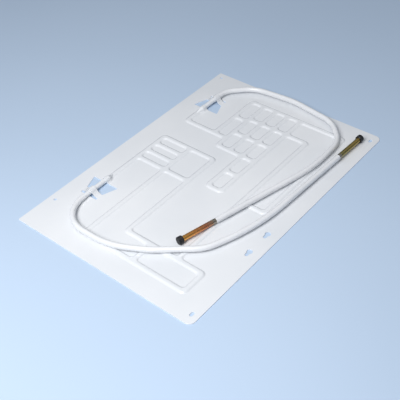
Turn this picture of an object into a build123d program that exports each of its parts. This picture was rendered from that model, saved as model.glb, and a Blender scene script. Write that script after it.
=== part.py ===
from build123d import *
import math
import os

# Refrigerator evaporator plate, in millimetres.
# The origin is the centre of the panel's flat underside, +X runs along the panel,
# +Y goes to the edge that carries the two connections, and +Z is the channel side.

# Panel: two aluminium sheets rolled into one, flat underneath
PANEL_LENGTH = 490.0
PANEL_WIDTH = 335.0
SHEET = 1.5
FRONT_CORNER_RADIUS = 10.0
REAR_CORNER_RADIUS = 2.0

# Refrigerant channels, blown up on the upper side only
CHANNEL_WIDTH = 9.6
CHANNEL_RISE = 2.0
FLANK_ANGLE = 42.0
CHANNEL_WALL = 0.75
CHANNEL_VOID_STEP = 0.6
INNER_BEND_RADIUS = 4.6
OUTER_BEND_RADIUS = 9.2

# Left circuit: a comb of narrow columns and a long loop at the panel's left edge
LOOP_COLUMN_INSET = 39.5
LOOP_WIDTH = 40.5
COMB_INSET = 217.5
COMB_PITCH = 21.75
COMB_FEED_GAP = 57.0
COMB_TOP_INSET = 43.5
RETURN_RISE = 48.0
RETURN_GAP = 31.0
LOOP_FRONT_INSET = 44.5
LOOP_TIE_INSET = 139.0

# Right circuit: a grid of short cells, with a feed from the right connection
GRID_RIGHT_INSET = 41.0
GRID_COLUMNS = 6
GRID_PITCH_X = 44.0
GRID_PITCH_Y = 25.0
GRID_TOP_INSET = 104.5
GRID_LEAST_GAP = 22.0
GRID_LINK_GAP = 40.0
FEED_INSET = 150.0
FEED_TOP_INSET = 45.0
CELL_SPLIT_INSET = 92.5
LINK_FRONT_INSET = 90.5
RETURN_FRONT_INSET = 48.5

# Fixing holes along the edges
REAR_HOLE_DIAMETER = 5.0
REAR_HOLE_INSET_Y = 11.5
REAR_LEFT_HOLE_INSET_X = 64.0
REAR_RIGHT_HOLE_INSET_X = 12.0
SLOT_INSET_X = 17.0
SLOT_INSET_Y = 11.5
SLOT_LENGTH = 8.4
SLOT_WIDTH = 5.0
KEYHOLE_INSET_Y = 19.0
KEYHOLE_X = -48.0
KEYHOLE_PITCH = 44.0
KEYHOLE_DIAMETER = 9.0
KEYHOLE_SLOT_WIDTH = 5.4
KEYHOLE_SLOT_REACH = 7.5

# Connections: a window in the panel, a raised mouth and a strap over the tube
LEFT_MOUTH_INSET_X = 139.5
LEFT_MOUTH_INSET_Y = 45.5
RIGHT_MOUTH_INSET_X = 105.5
RIGHT_MOUTH_INSET_Y = 47.0
WINDOW_LENGTH = 25.0
WINDOW_WIDE = 51.0
WINDOW_NARROW = 33.0
WINDOW_CORNER_RADIUS = 1.2
STRAP_WIDTH = 10.0
STRAP_SLIT = 3.5
STRAP_FIT = 0.35
MOUTH_WIDTH = 18.0
MOUTH_LENGTH = 7.0
MOUTH_TAPER = 12.0
MOUTH_FIT = 0.1
TUBE_INSERTION = 6.5

# Tubes, sleeves, stubs and caps
TUBE_DIAMETER = 8.0
TUBE_WALL = 1.0
RISE_START = 2.0
RISE_RADIUS = 100.0
SLEEVE_DIAMETER = 9.0
SLEEVE_FIT = 0.1
RESTING_GAP = 0.2
BARE_END = 6.0
SPIGOT_LENGTH = 8.0
SPIGOT_WALL = 0.8
SPIGOT_FIT = 0.05
LEFT_STUB_LENGTH = 57.0
RIGHT_STUB_LENGTH = 59.5
CAP_DIAMETER = 12.0
CAP_LENGTH = 8.0
CAP_DEPTH = 6.0
CAP_FIT = 0.1
CAP_CHAMFER = 0.7

# Bends of the two tubes: distance from the left edge, distance from the rear edge, bend radius.
# A negative distance is from the right or the front edge.
LEFT_BENDS = (
    (37.0, 49.5, 54.0),
    (37.0, 151.3, 120.0),
    (65.9, 205.7, 150.0),
    (115.1, -68.4, 55.0),
    (193.4, -36.0, 360.0),
)
LEFT_SLEEVE_END = (-91.5, -27.0)
LEFT_SLEEVE_START = 48.0
RIGHT_BENDS = (
    (-49.5, 50.0, 35.0),
    (-12.6, 87.0, 60.0),
    (-4.8, 164.5, 150.0),
    (-17.4, -85.1, 60.0),
    (-56.0, -47.0, 55.0),
    (-136.7, -45.5, 250.0),
)
RIGHT_SLEEVE_END = (168.5, -92.0)
RIGHT_SLEEVE_START = 22.5

RIGHT = PANEL_LENGTH / 2
LEFT = -RIGHT
REAR = PANEL_WIDTH / 2
FRONT = -REAR

TUBE_RADIUS = TUBE_DIAMETER / 2
SLEEVE_RADIUS = SLEEVE_DIAMETER / 2
MOUTH_AXIS_Z = CHANNEL_WALL + TUBE_RADIUS
RESTING_Z = SHEET + CHANNEL_RISE + SLEEVE_RADIUS + RESTING_GAP


def on_panel(inset_x, inset_y):
    """A place by its insets: from the left and rear edges, or where negative the other two."""
    x = (LEFT if inset_x > 0 else RIGHT) + inset_x
    y = (REAR if inset_y > 0 else FRONT) - inset_y
    return x, y


def run(start, end, width):
    """One straight channel, seen from above, with half a width beyond each end."""
    (x1, y1), (x2, y2) = start, end
    centre = Pos((x1 + x2) / 2, (y1 + y2) / 2)
    return centre * Rectangle(abs(x2 - x1) + width, abs(y2 - y1) + width)


def repeated(first, limit, pitch):
    """As many places as fit from the first to the limit, a pitch apart."""
    step = math.copysign(pitch, limit - first)
    return [first + step * k for k in range(int(abs(limit - first) / pitch) + 1)]


def grid_rows():
    """Rows of the right circuit's grid: two near the front, and above them as many as fit."""
    last = FRONT + LINK_FRONT_INSET + GRID_LINK_GAP
    wide = [last + GRID_PITCH_Y, last]
    return repeated(REAR - GRID_TOP_INSET, wide[0] + GRID_LEAST_GAP, GRID_PITCH_Y) + wide


def left_circuit():
    """Centre lines of the left circuit's channels."""
    outer = LEFT + LOOP_COLUMN_INSET
    inner = outer + LOOP_WIDTH
    comb = repeated(LEFT + COMB_INSET, RIGHT - FEED_INSET - COMB_FEED_GAP, COMB_PITCH)
    top = REAR - COMB_TOP_INSET
    low = grid_rows()[-2] + RETURN_GAP
    middle = low + RETURN_RISE
    front = FRONT + LOOP_FRONT_INSET
    tie = FRONT + LOOP_TIE_INSET
    mouth_end = LEFT + LEFT_MOUTH_INSET_X + MOUTH_LENGTH + MOUTH_TAPER
    lines = [((mouth_end, top), (comb[-1], top))]
    lines += [((x, top), (x, middle)) for x in comb]
    lines += [((x, middle), (x, low)) for x in (comb[0], comb[-1])]
    lines += [((outer, middle), (comb[-1], middle)), ((inner, low), (comb[-1], low))]
    lines += [((outer, front), (outer, middle)), ((inner, front), (inner, low))]
    lines += [((outer, y), (inner, y)) for y in (front, tie)]
    return lines


def right_circuit():
    """Centre lines of the right circuit's channels, and of the link to the left circuit."""
    columns = [RIGHT - GRID_RIGHT_INSET - GRID_PITCH_X * k for k in range(GRID_COLUMNS)]
    link = FRONT + LINK_FRONT_INSET
    rows = grid_rows()
    feed = RIGHT - FEED_INSET
    feed_top = REAR - FEED_TOP_INSET
    split = RIGHT - CELL_SPLIT_INSET
    back = FRONT + RETURN_FRONT_INSET
    mouth_end = RIGHT - RIGHT_MOUTH_INSET_X - MOUTH_LENGTH - MOUTH_TAPER
    lines = [((feed, feed_top), (mouth_end, feed_top)), ((feed, feed_top), (feed, rows[1]))]
    lines += [((split, rows[0]), (split, rows[1])), ((feed, rows[0]), (columns[0], rows[0]))]
    lines += [((columns[3], y), (columns[0], y)) for y in rows[1:-2]]
    lines += [((columns[5], y), (columns[0], y)) for y in rows[-2:]]
    lines += [((x, rows[1]), (x, rows[-1])) for x in columns[1:4]]
    lines += [((x, rows[-2]), (x, rows[-1])) for x in columns[4:6]]
    lines += [((columns[0], back), (columns[0], rows[0])), ((columns[1], link), (columns[1], rows[-1]))]
    lines += [((columns[5], back), (columns[5], link)), ((columns[5], back), (columns[0], back))]
    lines += [((LEFT + LOOP_COLUMN_INSET + LOOP_WIDTH, link), (columns[1], link))]
    return lines


def corners(plan, filled):
    """Corners of a plan whose surroundings hold that many filled quarters: 1 outer, 3 inner."""
    found = []
    step = CHANNEL_WIDTH / 20
    for vertex in plan.vertices():
        near = [(vertex.X + dx, vertex.Y + dy, 0) for dx in (-step, step) for dy in (-step, step)]
        if sum(plan.face().is_inside(point) for point in near) == filled:
            found.append(vertex)
    return found


def outer_bends(plan, width):
    """Outer corners of the bends, without the square ends that the mouths cover."""
    found = corners(plan, 1)
    places = [Vector(vertex.X, vertex.Y) for vertex in found]
    gaps = [min((a - b).length for b in places if b is not a) for a in places]
    square_end = 1.5 * width
    return [vertex for vertex, gap in zip(found, gaps) if gap > square_end]


def channel_plan(width, inner_radius):
    """Both circuits seen from above. An inner radius of 0 leaves the junctions sharp."""
    runs = [run(start, end, width) for start, end in left_circuit() + right_circuit()]
    sharp = (runs[0] + runs[1:]).face()
    outline = make_face(sharp.outer_wire().edges())
    outline = fillet(outer_bends(outline, width), OUTER_BEND_RADIUS)
    if inner_radius:
        outline = fillet(corners(outline, 3), inner_radius)
    islands = []
    for wire in sharp.inner_wires():
        island = make_face(wire.edges())
        bends = corners(island, 3)
        if bends:
            island = fillet(bends, OUTER_BEND_RADIUS)
        if inner_radius:
            island = fillet(corners(island, 1), inner_radius)
        islands.append(island)
    return outline - islands


def channel_network(plan, floor):
    """The network as a solid on the given level, with sloping flanks and a flat crown."""
    return extrude(Pos(0, 0, floor) * plan, CHANNEL_RISE, taper=90 - FLANK_ANGLE)


def flat_panel():
    """The sheet with its corners, before anything is raised from it or cut out."""
    sheet = extrude(Rectangle(PANEL_LENGTH, PANEL_WIDTH), SHEET)
    uprights = sheet.edges().filter_by(Axis.Z).group_by(Axis.Y)
    sheet = fillet(uprights[0], FRONT_CORNER_RADIUS)
    uprights = sheet.edges().filter_by(Axis.Z).group_by(Axis.Y)
    return fillet(uprights[-1], REAR_CORNER_RADIUS)


def through(plan):
    """A cutter of that plan, from below the sheet to above it."""
    return Pos(0, 0, -SHEET) * extrude(plan, 3 * SHEET)


def bell(width, rise, crown_radius):
    """A smooth arch on a base line: two hollow feet and a round crown, all tangent."""
    spread = (width * width / 4 + rise * rise) / (2 * rise)
    foot_radius = spread - crown_radius
    turn = math.degrees(math.acos((spread - rise) / spread))
    left = CenterArc((-width / 2, foot_radius), foot_radius, -90, turn)
    right = CenterArc((width / 2, foot_radius), foot_radius, -90 - turn, turn)
    crown = CenterArc((0, rise - crown_radius), crown_radius, 90 - turn, 2 * turn)
    base = Line(left @ 0, right @ 1)
    return make_face([left, crown, right, base])


def across(x, y, z):
    """A plane that faces along +X at a point, with its own X along the panel's Y."""
    return Plane(origin=(x, y, z), x_dir=(0, 1, 0), z_dir=(1, 0, 0))


class Connection:
    """Where one tube enters the panel, and the window and strap around its first run."""

    def __init__(self, mouth_x, axis_y, channel_y, first_bend, held_radius):
        self.mouth_x = mouth_x
        self.axis_y = axis_y
        self.channel_y = channel_y
        self.bend_x, self.bend_y = on_panel(*first_bend[:2])
        self.way = 1 if self.bend_x > mouth_x else -1
        self.held_radius = held_radius

    def out(self, distance):
        """X of a place that far out of the mouth, towards the strap."""
        return self.mouth_x + self.way * distance

    def axis(self, distance):
        """A point on the tube's axis that far out of the mouth: level at first, then rising."""
        share = (distance - RISE_START) / (abs(self.bend_x - self.mouth_x) - RISE_START)
        share = max(share, 0)
        y = self.axis_y + share * (self.bend_y - self.axis_y)
        z = MOUTH_AXIS_Z + share * (RESTING_Z - MOUTH_AXIS_Z)
        return Vector(self.out(distance), y, z)

    def strap_middle(self):
        """The tube's axis at the middle of the strap, which the window is centred on too."""
        return self.axis(WINDOW_LENGTH + STRAP_WIDTH / 2)

    def window(self):
        """The opening around the tube: it narrows to the strap and ends in a slit beyond it."""
        wide, narrow = WINDOW_WIDE / 2, WINDOW_NARROW / 2
        far = self.out(WINDOW_LENGTH + STRAP_WIDTH + STRAP_SLIT)
        near = self.out(WINDOW_LENGTH)
        outline = Polyline(
            (self.mouth_x, -wide),
            (near, -narrow),
            (far, -narrow),
            (far, narrow),
            (near, narrow),
            (self.mouth_x, wide),
            close=True,
        )
        plan = make_face(outline)
        plan = fillet(plan.vertices(), WINDOW_CORNER_RADIUS)
        return through(Pos(0, self.strap_middle().Y) * plan)

    def strap(self):
        """A band of the panel's own sheet, lanced free on both sides and bowed over the tube."""
        under = self.held_radius + STRAP_FIT
        over = under + SHEET
        rise = self.axis(WINDOW_LENGTH + STRAP_WIDTH).Z + under
        spread = (WINDOW_NARROW * WINDOW_NARROW / 4 + rise * rise) / (2 * rise)
        foot = spread - under
        turn = math.degrees(math.acos((spread - rise) / spread))
        half = WINDOW_NARROW / 2
        curves = []
        for crown_radius, foot_radius in ((under, foot), (over, foot - SHEET)):
            curves.append(CenterArc((-half, foot), foot_radius, -90, turn))
            curves.append(CenterArc((0, rise - under), crown_radius, 90 - turn, 2 * turn))
            curves.append(CenterArc((half, foot), foot_radius, -90 - turn, turn))
        ends = [Line((side * half, 0), (side * half, SHEET)) for side in (-1, 1)]
        middle = self.strap_middle()
        section = across(middle.X - STRAP_WIDTH / 2, middle.Y, 0) * make_face(curves + ends)
        return extrude(section, STRAP_WIDTH, dir=(1, 0, 0))

    def mouth(self):
        """The sheet blown up around the tube's end, and its taper down to the channel."""
        crown = TUBE_RADIUS + MOUTH_FIT + CHANNEL_WALL
        rise = MOUTH_AXIS_Z + crown - SHEET
        full = bell(MOUTH_WIDTH, rise, crown)
        low = bell(CHANNEL_WIDTH, CHANNEL_RISE, CHANNEL_RISE)
        start = across(self.mouth_x, self.axis_y, SHEET) * full
        step = across(self.out(-MOUTH_LENGTH), self.axis_y, SHEET) * full
        end = across(self.out(-MOUTH_LENGTH - MOUTH_TAPER), self.channel_y, SHEET) * low
        straight = extrude(start, MOUTH_LENGTH, dir=(-self.way, 0, 0))
        return straight + loft([step, end], ruled=True)

    def bore(self):
        """The seat of the tube's end, and the passage from it into the channel."""
        seat = across(self.mouth_x, self.axis_y, MOUTH_AXIS_Z) * Circle(TUBE_RADIUS + MOUTH_FIT)
        seat = extrude(seat, TUBE_INSERTION + MOUTH_FIT, dir=(-self.way, 0, 0))
        throat = TUBE_RADIUS - TUBE_WALL
        passage_z = CHANNEL_WALL + CHANNEL_RISE / 2
        wide = across(self.out(-TUBE_INSERTION), self.axis_y, CHANNEL_WALL + throat) * Circle(throat)
        tight = across(self.out(-MOUTH_LENGTH - MOUTH_TAPER), self.channel_y, passage_z)
        return seat + loft([wide, tight * Circle(CHANNEL_RISE / 2)], ruled=True)


LEFT_CONNECTION = Connection(
    LEFT + LEFT_MOUTH_INSET_X,
    REAR - LEFT_MOUTH_INSET_Y,
    REAR - COMB_TOP_INSET,
    LEFT_BENDS[0],
    TUBE_RADIUS,
)
RIGHT_CONNECTION = Connection(
    RIGHT - RIGHT_MOUTH_INSET_X,
    REAR - RIGHT_MOUTH_INSET_Y,
    REAR - FEED_TOP_INSET,
    RIGHT_BENDS[0],
    SLEEVE_RADIUS,
)


def keyhole(x, y):
    """A round hole with a narrower slot to its left, to drop over a screw head and slide."""
    slot = Pos(x - KEYHOLE_SLOT_REACH / 2, y) * Rectangle(KEYHOLE_SLOT_REACH, KEYHOLE_SLOT_WIDTH)
    end = Pos(x - KEYHOLE_SLOT_REACH, y) * Circle(KEYHOLE_SLOT_WIDTH / 2)
    return Pos(x, y) * Circle(KEYHOLE_DIAMETER / 2) + slot + end


def fixing_holes():
    """All holes along the edges, as one cutter."""
    rear_y = REAR - REAR_HOLE_INSET_Y
    rear_x = (LEFT + REAR_LEFT_HOLE_INSET_X, RIGHT - REAR_RIGHT_HOLE_INSET_X)
    plans = [Pos(x, rear_y) * Circle(REAR_HOLE_DIAMETER / 2) for x in rear_x]
    for x in (LEFT + SLOT_INSET_X, RIGHT - SLOT_INSET_X):
        plans.append(Pos(x, FRONT + SLOT_INSET_Y) * SlotOverall(SLOT_LENGTH, SLOT_WIDTH))
    for x in (KEYHOLE_X, KEYHOLE_X - KEYHOLE_PITCH):
        plans.append(keyhole(x, FRONT + KEYHOLE_INSET_Y))
    return [through(plan) for plan in plans]


def evaporator_panel():
    """The panel as it is in the refrigerator: one piece, hollow along its channels."""
    raised = channel_plan(CHANNEL_WIDTH, INNER_BEND_RADIUS)
    hollow = channel_plan(CHANNEL_WIDTH - CHANNEL_VOID_STEP, 0)
    panel = flat_panel() + channel_network(raised, SHEET)
    passages = channel_network(hollow, CHANNEL_WALL)
    for connection in (LEFT_CONNECTION, RIGHT_CONNECTION):
        panel = panel + connection.mouth() - connection.window() + connection.strap()
        passages = passages + connection.bore()
    return panel - passages - fixing_holes()


def swept(section, points, radii):
    """A section carried along straight runs that are joined by tangent arcs."""
    path = FilletPolyline(*points, radius=radii)
    return sweep(Plane(origin=path @ 0, z_dir=path % 0) * section, path=path)


def ring(outer_radius, inner_radius):
    return Circle(outer_radius) - Circle(inner_radius)


class TubeLine:
    """One connecting tube with its sleeve, its copper stub and its cap."""

    def __init__(self, connection, bends, sleeve_start, sleeve_end, stub_length):
        self.connection = connection
        self.bends = [Vector(*on_panel(x, y), RESTING_Z) for x, y, radius in bends]
        self.radii = [radius for x, y, radius in bends]
        self.sleeve_start = connection.axis(sleeve_start)
        self.sleeve_end = Vector(*on_panel(*sleeve_end), RESTING_Z)
        self.along = (self.sleeve_end - self.bends[-1]).normalized()
        self.tube_end = self.sleeve_end + self.along * BARE_END
        self.stub_length = stub_length

    def at_end(self, distance):
        """A plane across the line, that far beyond the end of the aluminium tube."""
        return Plane(origin=self.tube_end + self.along * distance, z_dir=self.along)

    def tube(self):
        """The aluminium tube, from the seat in the mouth to the stub."""
        start = self.connection.axis(-TUBE_INSERTION)
        rise = self.connection.axis(RISE_START)
        points = [start, rise] + self.bends + [self.tube_end]
        section = ring(TUBE_RADIUS, TUBE_RADIUS - TUBE_WALL)
        return swept(section, points, [RISE_RADIUS] + self.radii)

    def sleeve(self):
        """The sleeve around the tube, which leaves the tube bare just before the stub."""
        points = [self.sleeve_start] + self.bends + [self.sleeve_end]
        return swept(ring(SLEEVE_RADIUS, TUBE_RADIUS + SLEEVE_FIT), points, self.radii)

    def stub(self):
        """A copper tube with its end reduced to go into the bore of the aluminium tube."""
        bore = TUBE_RADIUS - TUBE_WALL
        spigot = bore - SPIGOT_FIT
        profile = Polyline(
            (spigot - SPIGOT_WALL, -SPIGOT_LENGTH),
            (spigot, -SPIGOT_LENGTH),
            (spigot, 0),
            (TUBE_RADIUS, 0),
            (TUBE_RADIUS, self.stub_length),
            (bore, self.stub_length),
            (bore, TUBE_WALL),
            (spigot - SPIGOT_WALL, TUBE_WALL),
            close=True,
        )
        return self.at_end(0) * revolve(Plane.XZ * make_face(profile), Axis.Z)

    def cap(self):
        """A push-on cap with broken outer edges."""
        radius = CAP_DIAMETER / 2
        body = Cylinder(radius, CAP_LENGTH, align=(Align.CENTER, Align.CENTER, Align.MIN))
        body = chamfer(body.edges().filter_by(GeomType.CIRCLE), CAP_CHAMFER)
        hole = Cylinder(TUBE_RADIUS + CAP_FIT, CAP_DEPTH, align=(Align.CENTER, Align.CENTER, Align.MIN))
        return self.at_end(self.stub_length + CAP_FIT - CAP_DEPTH) * (body - hole)


LEFT_LINE = TubeLine(
    LEFT_CONNECTION,
    LEFT_BENDS,
    LEFT_SLEEVE_START,
    LEFT_SLEEVE_END,
    LEFT_STUB_LENGTH,
)
RIGHT_LINE = TubeLine(
    RIGHT_CONNECTION,
    RIGHT_BENDS,
    RIGHT_SLEEVE_START,
    RIGHT_SLEEVE_END,
    RIGHT_STUB_LENGTH,
)


def write(node, shape):
    export_step(shape, "parts/" + node + ".step")


os.makedirs("parts", exist_ok=True)
write("evaporator_panel", evaporator_panel())
for side, line in (("left", LEFT_LINE), ("right", RIGHT_LINE)):
    write(side + "_tube", line.tube())
    write(side + "_sleeve", line.sleeve())
    write(side + "_stub", line.stub())
    write(side + "_cap", line.cap())
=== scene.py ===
import math
import bmesh
import bpy
from mathutils import Matrix, Vector


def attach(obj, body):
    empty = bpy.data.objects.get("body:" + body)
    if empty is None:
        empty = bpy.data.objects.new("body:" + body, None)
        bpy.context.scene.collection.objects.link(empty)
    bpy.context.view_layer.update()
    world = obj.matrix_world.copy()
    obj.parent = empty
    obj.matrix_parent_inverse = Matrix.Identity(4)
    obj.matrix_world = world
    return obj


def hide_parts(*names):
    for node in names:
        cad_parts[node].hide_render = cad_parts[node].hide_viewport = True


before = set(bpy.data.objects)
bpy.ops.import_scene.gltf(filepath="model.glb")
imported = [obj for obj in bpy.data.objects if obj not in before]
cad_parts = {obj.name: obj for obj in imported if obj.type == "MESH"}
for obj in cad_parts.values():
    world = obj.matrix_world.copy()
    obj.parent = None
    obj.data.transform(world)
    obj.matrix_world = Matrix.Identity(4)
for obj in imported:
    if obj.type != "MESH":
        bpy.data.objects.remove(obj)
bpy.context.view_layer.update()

scene = bpy.context.scene
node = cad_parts


# The evaporator panel: two aluminium sheets rolled into one, with the channels blown up on the
# upper side, then painted a glossy white. It is a merged copy of the CAD panel whose ridges get
# round crowns and soft feet and whose cut edges are broken, as blown and stamped sheet has them.
SHEET_TOP = 0.0015
RIDGE_TOP = 0.0035
LEVEL_FIT = 0.00002
MERGE_DISTANCE = 1e-6
FLAT_BEND = 0.5
SHARP_BEND = (32, 181)

# The roundings of the cut edges, the ridges' feet and their crowns, in that order. The edges of
# each are found by their level and by the range of their bend, in degrees.
ROUNDINGS = (
    {"level": SHEET_TOP, "bend": (80, 100), "width": 0.00025, "by_mouths": True},
    {"level": SHEET_TOP, "bend": (35, 50), "width": 0.0011, "by_mouths": False},
    {"level": RIDGE_TOP, "bend": (35, 50), "width": 0.0014, "by_mouths": False},
)

# A ridge that runs into a mouth isn't rounded from 1 mm before the mouth's taper as far as its
# collar. These are the X of both places, and the Y of the ridge's middle line.
MOUTHS = (
    {"stop": -0.0855, "collar": -0.0985, "line": 0.1240},
    {"stop": 0.1195, "collar": 0.1325, "line": 0.1225},
)
MOUTH_REACH = 0.010

PAINT_SHADED = (0.760, 0.785, 0.820, 1)
PAINT_WHITE = (0.835, 0.850, 0.875, 1)


def group(name, inputs, outputs):
    """An empty node group with its sockets. Gives the group, its input node and output node."""
    tree = bpy.data.node_groups.new(name, "ShaderNodeTree")
    for label, value in inputs:
        kind = "NodeSocketFloat" if isinstance(value, (int, float)) else "NodeSocketVector"
        tree.interface.new_socket(label, in_out="INPUT", socket_type=kind).default_value = value
    for label, kind in outputs:
        tree.interface.new_socket(label, in_out="OUTPUT", socket_type=kind)
    return tree, tree.nodes.new("NodeGroupInput"), tree.nodes.new("NodeGroupOutput")


def feed(tree, socket, value):
    """Link another socket to this one, or set its plain value."""
    if isinstance(value, bpy.types.NodeSocket):
        tree.links.new(value, socket)
    else:
        socket.default_value = value


def add(tree, kind, inputs=(), **settings):
    """A node whose inputs are given by name or number, each a plain value or another socket."""
    made = tree.nodes.new(kind)
    for key, value in settings.items():
        setattr(made, key, value)
    for key, value in dict(inputs).items():
        feed(tree, made.inputs[key], value)
    return made


def mottle_group():
    """Soft blotches between two values, on Object coordinates."""
    inputs = (("Scale", 10.0), ("Detail", 2.0), ("From", 0.0), ("To", 1.0))
    tree, given, out = group("mottle", inputs, (("Value", "NodeSocketFloat"),))
    place = add(tree, "ShaderNodeTexCoord")
    sizes = {"Vector": place.outputs["Object"], "Scale": given.outputs["Scale"]}
    texture = add(tree, "ShaderNodeTexNoise", {**sizes, "Detail": given.outputs["Detail"]})
    ends = {"From Min": 0.3, "From Max": 0.7, "To Min": given.outputs["From"]}
    spread = add(tree, "ShaderNodeMapRange",
                 {"Value": texture.outputs["Fac"], "To Max": given.outputs["To"], **ends})
    tree.links.new(spread.outputs["Result"], out.inputs["Value"])
    return tree


def waves_group():
    """A normal with a fine peel and broad waves, each by its scale and its depth in metres."""
    inputs = (("Peel Scale", 900.0), ("Peel Depth", 0.00001))
    inputs += (("Wave Scale", 14.0), ("Wave Depth", 0.0003))
    tree, given, out = group("waves", inputs, (("Normal", "NodeSocketVector"),))
    place = add(tree, "ShaderNodeTexCoord").outputs["Object"]
    heights = []
    for name, detail in (("Peel", 2), ("Wave", 1)):
        sizes = {"Vector": place, "Scale": given.outputs[name + " Scale"], "Detail": detail}
        texture = add(tree, "ShaderNodeTexNoise", sizes)
        product = {0: texture.outputs["Fac"], 1: given.outputs[name + " Depth"]}
        heights.append(add(tree, "ShaderNodeMath", product, operation="MULTIPLY").outputs[0])
    height = add(tree, "ShaderNodeMath", dict(enumerate(heights)), operation="ADD").outputs[0]
    bump = add(tree, "ShaderNodeBump", {"Height": height, "Strength": 1.0, "Distance": 1.0})
    tree.links.new(bump.outputs["Normal"], out.inputs["Normal"])
    return tree


MOTTLE = mottle_group()
WAVES = waves_group()


def grouped(tree, source, inputs):
    """A node group set with these inputs. Gives its first output."""
    return add(tree, "ShaderNodeGroup", inputs, node_tree=source).outputs[0]


def blotches(tree, scale, detail, low=0.0, high=1.0):
    """Blotches of that scale and detail, between two values."""
    return grouped(tree, MOTTLE, {"Scale": scale, "Detail": detail, "From": low, "To": high})


def mixed(tree, share, first, second):
    """A colour between two, each a colour or a socket."""
    inputs = {"Factor": share, 6: first, 7: second}
    return add(tree, "ShaderNodeMix", inputs, data_type="RGBA").outputs[2]


def material(name, look):
    """A material with one Principled BSDF and the look that the function returns for its tree."""
    made = bpy.data.materials.new(name)
    made.use_nodes = True
    tree = made.node_tree
    shader = tree.nodes["Principled BSDF"]
    for key, value in look(tree).items():
        feed(tree, shader.inputs[key], value)
    return made


def paint_group():
    """The white paint's colour, roughness and normal, for the panel and the tubes' painted run."""
    outputs = (("Color", "NodeSocketColor"), ("Roughness", "NodeSocketFloat"))
    tree, given, out = group("white_paint", (), outputs + (("Normal", "NodeSocketVector"),))
    colour = mixed(tree, blotches(tree, scale=7, detail=3), PAINT_SHADED, PAINT_WHITE)
    tree.links.new(colour, out.inputs["Color"])
    rough = blotches(tree, scale=30, detail=2, low=0.21, high=0.27)
    tree.links.new(rough, out.inputs["Roughness"])
    depths = {"Peel Scale": 700, "Peel Depth": 0.000012, "Wave Scale": 13, "Wave Depth": 0.0005}
    tree.links.new(grouped(tree, WAVES, depths), out.inputs["Normal"])
    return tree


PAINT = paint_group()


def paint_look(tree):
    paint = add(tree, "ShaderNodeGroup", node_tree=PAINT)
    return {
        "Base Color": paint.outputs["Color"],
        "Roughness": paint.outputs["Roughness"],
        "Normal": paint.outputs["Normal"],
        "Coat Weight": 0.5,
        "Coat Roughness": 0.08,
    }


def at_level(edge, level):
    """Whether an edge lies flat at that height."""
    return all(abs(vertex.co.z - level) < LEVEL_FIT for vertex in edge.verts)


def bent(edge, least, most):
    """Whether the two faces of an edge meet at an angle in that range, in degrees."""
    return len(edge.link_faces) == 2 and least < math.degrees(edge.calc_face_angle(0)) < most


def along_ridge(edge, mouth):
    """Whether an edge lies within reach of the middle line of a mouth's ridge."""
    return all(abs(vertex.co.y - mouth["line"]) < MOUTH_REACH for vertex in edge.verts)


def by_mouth(edge, mouth):
    """Whether an edge lies between the place where the ridge's rounding stops and the collar."""
    low, high = sorted((mouth["stop"], mouth["collar"]))
    between = all(low - LEVEL_FIT < vertex.co.x < high + LEVEL_FIT for vertex in edge.verts)
    return between and along_ridge(edge, mouth)


def takes_in(rounding, edge):
    """Whether an edge gets that rounding."""
    if not (at_level(edge, rounding["level"]) and bent(edge, *rounding["bend"])):
        return False
    return rounding["by_mouths"] or not any(by_mouth(edge, mouth) for mouth in MOUTHS)


def cut_ridge(work, mouth):
    """Cut the crown and the sides of a mouth's ridge across, where their rounding is to stop."""
    faces = {}
    for edge in work.edges:
        low, high = sorted(vertex.co.x for vertex in edge.verts)
        crosses = low < mouth["stop"] < high
        if crosses and at_level(edge, RIDGE_TOP) and along_ridge(edge, mouth):
            faces.update(dict.fromkeys(edge.link_faces))
    edges = dict.fromkeys(edge for face in faces for edge in face.edges)
    vertices = dict.fromkeys(vertex for face in faces for vertex in face.verts)
    bmesh.ops.bisect_plane(work, geom=[*vertices, *edges, *faces], dist=MERGE_DISTANCE,
                           plane_co=(mouth["stop"], 0, 0), plane_no=(1, 0, 0))


def soft_panel():
    """The CAD panel as a merged mesh with round crowns, soft feet and broken cut edges."""
    work = bmesh.new()
    work.from_mesh(node["evaporator_panel"].data)
    bmesh.ops.remove_doubles(work, verts=work.verts, dist=MERGE_DISTANCE)
    bmesh.ops.dissolve_limit(work, angle_limit=math.radians(FLAT_BEND), verts=work.verts,
                             edges=work.edges)
    for mouth in MOUTHS:
        cut_ridge(work, mouth)
    for rounding in ROUNDINGS:
        edges = [edge for edge in work.edges if takes_in(rounding, edge)]
        bmesh.ops.bevel(work, geom=edges, offset=rounding["width"], segments=3, profile=0.5,
                        affect="EDGES", offset_type="OFFSET", clamp_overlap=False)
    for edge in work.edges:
        edge.smooth = not bent(edge, *SHARP_BEND)
    for face in work.faces:
        face.smooth = True
    mesh = bpy.data.meshes.new("panel")
    work.to_mesh(mesh)
    work.free()
    piece = bpy.data.objects.new("panel", mesh)
    scene.collection.objects.link(piece)
    normals = piece.modifiers.new("even_shading", "WEIGHTED_NORMAL")
    normals.keep_sharp = True
    mesh.materials.append(material("white_paint", paint_look))
    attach(piece, "root")
    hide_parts("evaporator_panel")


soft_panel()


# Tubes: drawn aluminium, painted white with the panel as far as the sleeve, and bare between the
# sleeve and the copper stub, where brazing has left the metal dull and brownish.
METAL_DARK = (0.23, 0.20, 0.16, 1)
METAL_LIGHT = (0.50, 0.45, 0.38, 1)
METAL_ROUGHNESS = 0.38
PAINT_FADE = 0.0004

# Where each sleeve ends, the way that its tube runs on from there, and how far the grain along it
# is turned from +X, in radians.
SLEEVE_ENDS = {"left": (0.1535, -0.1405, 0.0082), "right": (-0.0765, -0.0755, 0.0082)}
WAYS = {"left": (0.99904, -0.04384, 0), "right": (-0.96977, 0.24402, 0)}
TURNS = {"left": -0.0439, "right": -0.2465}


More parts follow.
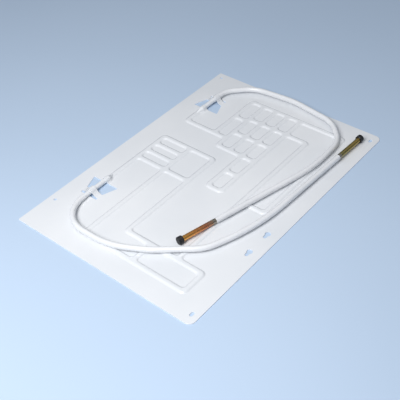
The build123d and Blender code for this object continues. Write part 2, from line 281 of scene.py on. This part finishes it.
def reach_group():
    """How far a point lies along a direction from an origin, as a share of a length."""
    inputs = (("Origin", (0, 0, 0)), ("Direction", (1, 0, 0)), ("Length", 1.0))
    tree, given, out = group("reach", inputs, (("Share", "NodeSocketFloat"),))
    place = add(tree, "ShaderNodeTexCoord").outputs["Object"]
    offset = {0: place, 1: given.outputs["Origin"]}
    offset = add(tree, "ShaderNodeVectorMath", offset, operation="SUBTRACT").outputs["Vector"]
    along = {0: offset, 1: given.outputs["Direction"]}
    along = add(tree, "ShaderNodeVectorMath", along, operation="DOT_PRODUCT").outputs["Value"]
    share = {0: along, 1: given.outputs["Length"]}
    share = add(tree, "ShaderNodeMath", share, operation="DIVIDE", use_clamp=True).outputs[0]
    tree.links.new(share, out.inputs["Share"])
    return tree


def grain_group():
    """Streaks along a level direction, by its angle from +X."""
    inputs = (("Turn", 0.0), ("Scale", 900.0), ("Stretch", 25.0))
    tree, given, out = group("grain", inputs, (("Value", "NodeSocketFloat"),))
    place = add(tree, "ShaderNodeTexCoord").outputs["Object"]
    turn = add(tree, "ShaderNodeCombineXYZ", {"Z": given.outputs["Turn"]}).outputs["Vector"]
    stretch = {"X": given.outputs["Stretch"], "Y": 1.0, "Z": 1.0}
    stretch = add(tree, "ShaderNodeCombineXYZ", stretch).outputs["Vector"]
    mapping = add(tree, "ShaderNodeMapping", {"Vector": place, "Rotation": turn, "Scale": stretch},
                  vector_type="TEXTURE").outputs["Vector"]
    sizes = {"Vector": mapping, "Scale": given.outputs["Scale"], "Detail": 3.0}
    texture = add(tree, "ShaderNodeTexNoise", sizes)
    spread = {"Value": texture.outputs["Fac"], "From Min": 0.35, "From Max": 0.65}
    spread = add(tree, "ShaderNodeMapRange", spread)
    tree.links.new(spread.outputs["Result"], out.inputs["Value"])
    return tree


REACH = reach_group()
GRAIN = grain_group()


def tube_look(side):
    """White paint up to the sleeve's end and bare metal beyond it."""
    def look(tree):
        place = {"Origin": SLEEVE_ENDS[side], "Direction": WAYS[side], "Length": PAINT_FADE}
        bare = grouped(tree, REACH, place)
        paint = add(tree, "ShaderNodeGroup", node_tree=PAINT)
        grain = grouped(tree, GRAIN, {"Turn": TURNS[side]})
        metal = mixed(tree, grain, METAL_DARK, METAL_LIGHT)
        rough = {"Factor": bare, "A": paint.outputs["Roughness"], "B": METAL_ROUGHNESS}
        rough = add(tree, "ShaderNodeMix", rough, data_type="FLOAT").outputs["Result"]
        return {
            "Base Color": mixed(tree, bare, paint.outputs["Color"], metal),
            "Metallic": bare,
            "Roughness": rough,
            "Normal": paint.outputs["Normal"],
        }
    return look


def dress(name, finish):
    """A CAD piece in that material."""
    piece = node[name]
    piece.data.materials.clear()
    piece.data.materials.append(finish)


for side in ("left", "right"):
    dress(side + "_tube", material(side + "_aluminium", tube_look(side)))


# Sleeves: white plastic pulled over the two bent tubes. They are as glossy as the paint, with a
# slightly uneven surface and faint greyer stretches from handling.
SLEEVE_GREYER = (0.790, 0.805, 0.830, 1)
SLEEVE_WHITE = (0.850, 0.860, 0.880, 1)


def sleeve_look(tree):
    depths = {"Peel Scale": 400, "Peel Depth": 0.000008, "Wave Scale": 30, "Wave Depth": 0.00003}
    return {
        "Base Color": mixed(tree, blotches(tree, scale=25, detail=3), SLEEVE_GREYER, SLEEVE_WHITE),
        "Roughness": blotches(tree, scale=60, detail=3, low=0.22, high=0.36),
        "Normal": grouped(tree, WAVES, depths),
        "Coat Weight": 0.3,
        "Coat Roughness": 0.12,
    }


SLEEVE = material("white_sleeve", sleeve_look)
for name in ("left_sleeve", "right_sleeve"):
    dress(name, SLEEVE)


# Stubs: drawn copper tube brazed into the aluminium. The right one is bright copper that turns
# from amber at the cap to red and grey at the braze, and the left one has tarnished to olive.
STUB_ENDS = {"left": (0.21644, -0.14326, 0.0082), "right": (-0.14002, -0.05952, 0.0082)}
STUB_LENGTHS = {"left": 0.057, "right": 0.0595}
STREAK_SHARE = 0.45
STUB_STREAKS = {"left": (0.10, 0.08, 0.02, 1), "right": (0.42, 0.14, 0.05, 1)}

# The colours from the cap to the braze, each at its share of the way.
STUB_COLOURS = {
    "left": (
        (0.0, (0.62, 0.42, 0.12, 1)),
        (0.6, (0.52, 0.39, 0.13, 1)),
        (1.0, (0.46, 0.40, 0.17, 1)),
    ),
    "right": (
        (0.0, (1.00, 0.56, 0.12, 1)),
        (0.45, (0.95, 0.42, 0.13, 1)),
        (0.8, (0.66, 0.27, 0.15, 1)),
        (1.0, (0.50, 0.38, 0.27, 1)),
    ),
}


def ramped(tree, share, stops):
    """A colour along that share, by stops of a position and a colour."""
    ramp = add(tree, "ShaderNodeValToRGB", {"Fac": share})
    elements = ramp.color_ramp.elements
    for _ in stops[2:]:
        elements.new(0.5)
    for element, (position, colour) in zip(elements, stops):
        element.position = position
        element.color = colour
    return ramp.outputs["Color"]


def stub_look(side):
    """Copper that changes colour from the cap to the braze, with darker streaks along it."""
    def look(tree):
        back = tuple(-value for value in WAYS[side])
        place = {"Origin": STUB_ENDS[side], "Direction": back, "Length": STUB_LENGTHS[side]}
        copper = ramped(tree, grouped(tree, REACH, place), STUB_COLOURS[side])
        grain = grouped(tree, GRAIN, {"Turn": TURNS[side], "Scale": 700, "Stretch": 30})
        streaks = {0: grain, 1: STREAK_SHARE}
        streaks = add(tree, "ShaderNodeMath", streaks, operation="MULTIPLY").outputs[0]
        return {
            "Base Color": mixed(tree, streaks, copper, STUB_STREAKS[side]),
            "Metallic": 1.0,
            "Roughness": blotches(tree, scale=250, detail=3, low=0.20, high=0.36),
        }
    return look


for side in ("left", "right"):
    dress(side + "_stub", material(side + "_copper", stub_look(side)))


# Caps: moulded black caps of a soft plastic, pushed over the stubs to keep the tubes closed until
# the plate is fitted. They are matt and slightly dusty.
CAP_BLACK = (0.006, 0.006, 0.007, 1)
CAP_DUSTY = (0.024, 0.024, 0.026, 1)


def cap_look(tree):
    depths = {"Peel Scale": 900, "Peel Depth": 0.00003, "Wave Scale": 120, "Wave Depth": 0.00005}
    return {
        "Base Color": mixed(tree, blotches(tree, scale=250, detail=4), CAP_BLACK, CAP_DUSTY),
        "Roughness": blotches(tree, scale=400, detail=3, low=0.45, high=0.65),
        "Normal": grouped(tree, WAVES, depths),
    }


CAP = material("black_cap", cap_look)
for name in ("left_cap", "right_cap"):
    dress(name, CAP)


# Floor: a plain pale blue surface under the plate. It is matt, so that it shows the plate's soft
# shadow and no mirror image.
FLOOR_SIZE = 40
FLOOR_DEEPER = (0.50, 0.62, 0.78, 1)
FLOOR_PALER = (0.52, 0.64, 0.80, 1)


def floor_look(tree):
    colour = mixed(tree, blotches(tree, scale=2, detail=1), FLOOR_DEEPER, FLOOR_PALER)
    return {"Base Color": colour, "Roughness": 0.9, "Specular IOR Level": 0.1}


def floor():
    work = bmesh.new()
    bmesh.ops.create_grid(work, x_segments=1, y_segments=1, size=FLOOR_SIZE)
    mesh = bpy.data.meshes.new("floor")
    work.to_mesh(mesh)
    work.free()
    mesh.materials.append(material("floor", floor_look))
    piece = bpy.data.objects.new("floor", mesh)
    scene.collection.objects.link(piece)


floor()


# Light: a soft lamp above the left end of the plate, a weaker and larger one overhead, and a room
# that is bright above and darker towards the horizon.
ROOM_STRENGTH = 0.36
ROOM_COLOURS = ((0.15, (0.16, 0.24, 0.36, 1)), (0.62, (0.92, 0.95, 1.0, 1)))


def lamp(name, place, size, power):
    """A round soft lamp that looks at the plate's centre."""
    light = bpy.data.lights.new(name, "AREA")
    light.shape = "DISK"
    light.size = size
    light.energy = power
    piece = bpy.data.objects.new(name, light)
    scene.collection.objects.link(piece)
    piece.location = place
    piece.rotation_euler = (-Vector(place)).to_track_quat("-Z", "Y").to_euler()


lamp("key", place=(-0.85, -0.1, 1.0), size=0.7, power=14)
lamp("overhead", place=(-0.2, 0.1, 2.0), size=1.6, power=4)

world = bpy.data.worlds.new("room")
scene.world = world
world.use_nodes = True
room = world.node_tree
direction = add(room, "ShaderNodeTexCoord").outputs["Generated"]
height = add(room, "ShaderNodeSeparateXYZ", {"Vector": direction}).outputs["Z"]
background = room.nodes["Background"]
feed(room, background.inputs["Color"], ramped(room, height, ROOM_COLOURS))
feed(room, background.inputs["Strength"], ROOM_STRENGTH)


# Camera: above and in front of the plate's left corner, as in the photograph. It aims a little
# left of the plate's middle and is rolled by a few degrees, which gives the photograph's frame.
CAMERA_PLACE = Vector((-0.704, -0.600, 0.7835))
CAMERA_AIM = Vector((-0.0497, -0.0238, 0.0015))
CAMERA_ROLL = math.radians(-3.19)
CAMERA_LENS = 69.6
CAMERA_SENSOR = 36

lens = bpy.data.cameras.new("camera")
lens.lens = CAMERA_LENS
lens.sensor_width = CAMERA_SENSOR
camera = bpy.data.objects.new("camera", lens)
scene.collection.objects.link(camera)
turned = (CAMERA_AIM - CAMERA_PLACE).to_track_quat("-Z", "Y").to_matrix()
turned = turned @ Matrix.Rotation(CAMERA_ROLL, 3, "Z")
camera.matrix_world = Matrix.Translation(CAMERA_PLACE) @ turned.to_4x4()
scene.camera = camera
scene.view_settings.view_transform = "Standard"
